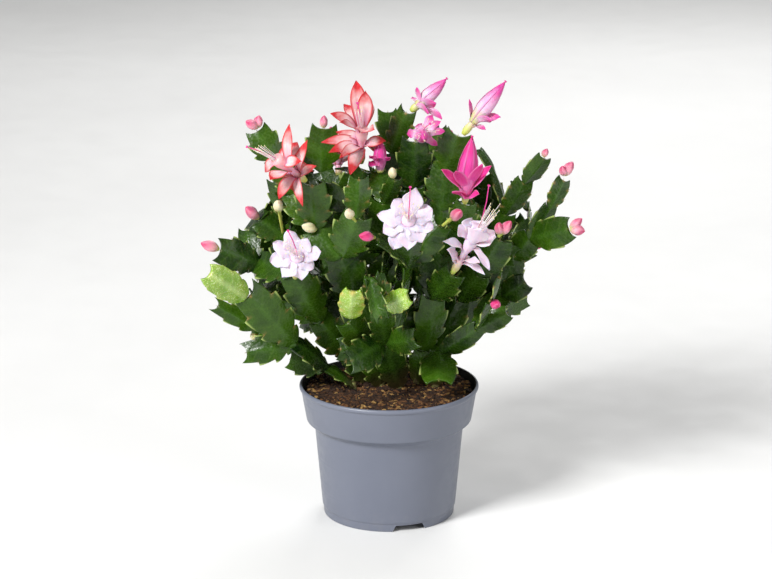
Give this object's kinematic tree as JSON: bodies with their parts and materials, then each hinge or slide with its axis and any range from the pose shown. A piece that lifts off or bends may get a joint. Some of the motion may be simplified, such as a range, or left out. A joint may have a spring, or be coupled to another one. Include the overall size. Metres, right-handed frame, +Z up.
{
  "type": "potted christmas cactus",
  "caption": "Christmas cactus in bloom: arching stems of flat, toothed segments with two-tier flowers and buds, rooted in a round nursery pot.",
  "frame": {"origin": "centre of the pot's flat underside, on the surface that it stands on", "axes": "+Z up, front of the plant towards -Y, +X to the right seen from the front"},
  "size_m": [0.2504, 0.2271, 0.3012],
  "materials": {
    "pot_plastic": "satin moulded grey-blue plastic",
    "peat": "dark coarse peat with golden fibre bits",
    "green_segment": "waxy dark green",
    "young_segment": "waxy lime green",
    "red_petal": "silky red petal with a pale throat",
    "pink_petal": "silky pink petal",
    "magenta_petal": "silky magenta petal",
    "white_petal": "silky white petal with a lilac cast",
    "pink_bud": "smooth pink bud",
    "cream_bud": "smooth cream bud"
  },
  "bodies": {
    "root": {"pot": "pot_plastic", "soil": "peat", "stem_low_left": "green_segment", "stem_mid_left": "green_segment", "stem_centre_left": "green_segment", "stem_centre": "green_segment", "stem_top": "green_segment", "stem_centre_right": "green_segment", "stem_right": "green_segment", "stem_far_right": "green_segment", "stem_far_left": "green_segment", "stem_back_left": "green_segment", "stem_back": "green_segment", "stem_back_right": "green_segment", "young_left": "young_segment", "young_centre": "young_segment", "young_right": "young_segment", "bloom_red_left": "red_petal", "bloom_red_top": "red_petal", "bloom_pink_top": "pink_petal", "bloom_pink_right": "pink_petal", "bloom_magenta": "magenta_petal", "bloom_pink_small": "pink_petal", "bloom_magenta_small": "magenta_petal", "bloom_white_centre": "white_petal", "bloom_white_left": "white_petal", "bloom_white_right": "white_petal", "bloom_red_back": "red_petal", "bloom_pink_back": "pink_petal", "bloom_white_back": "white_petal", "bloom_magenta_back": "magenta_petal", "bloom_white_side": "white_petal", "bud_pair_upper_left": "pink_bud", "bud_red_left": "pink_bud", "bud_salmon_left": "pink_bud", "bud_cream_left": "cream_bud", "bud_pale_top": "pink_bud", "bud_cream_centre": "cream_bud", "bud_cream_small": "cream_bud", "bud_magenta": "magenta_petal", "bud_pink_centre": "pink_bud", "bud_pale_tip": "pink_bud", "bud_pair_right": "pink_bud", "bud_pair_far_right": "pink_bud", "bud_two_lobed": "pink_bud", "bud_low_right": "pink_bud", "bud_cream_low": "cream_bud", "bud_cream_upper": "cream_bud", "bud_back_left": "pink_bud", "bud_back_low": "cream_bud", "bud_back_centre": "pink_bud", "bud_back_low_right": "pink_bud", "bud_back_right": "magenta_petal"}
  },
  "joints": []
}
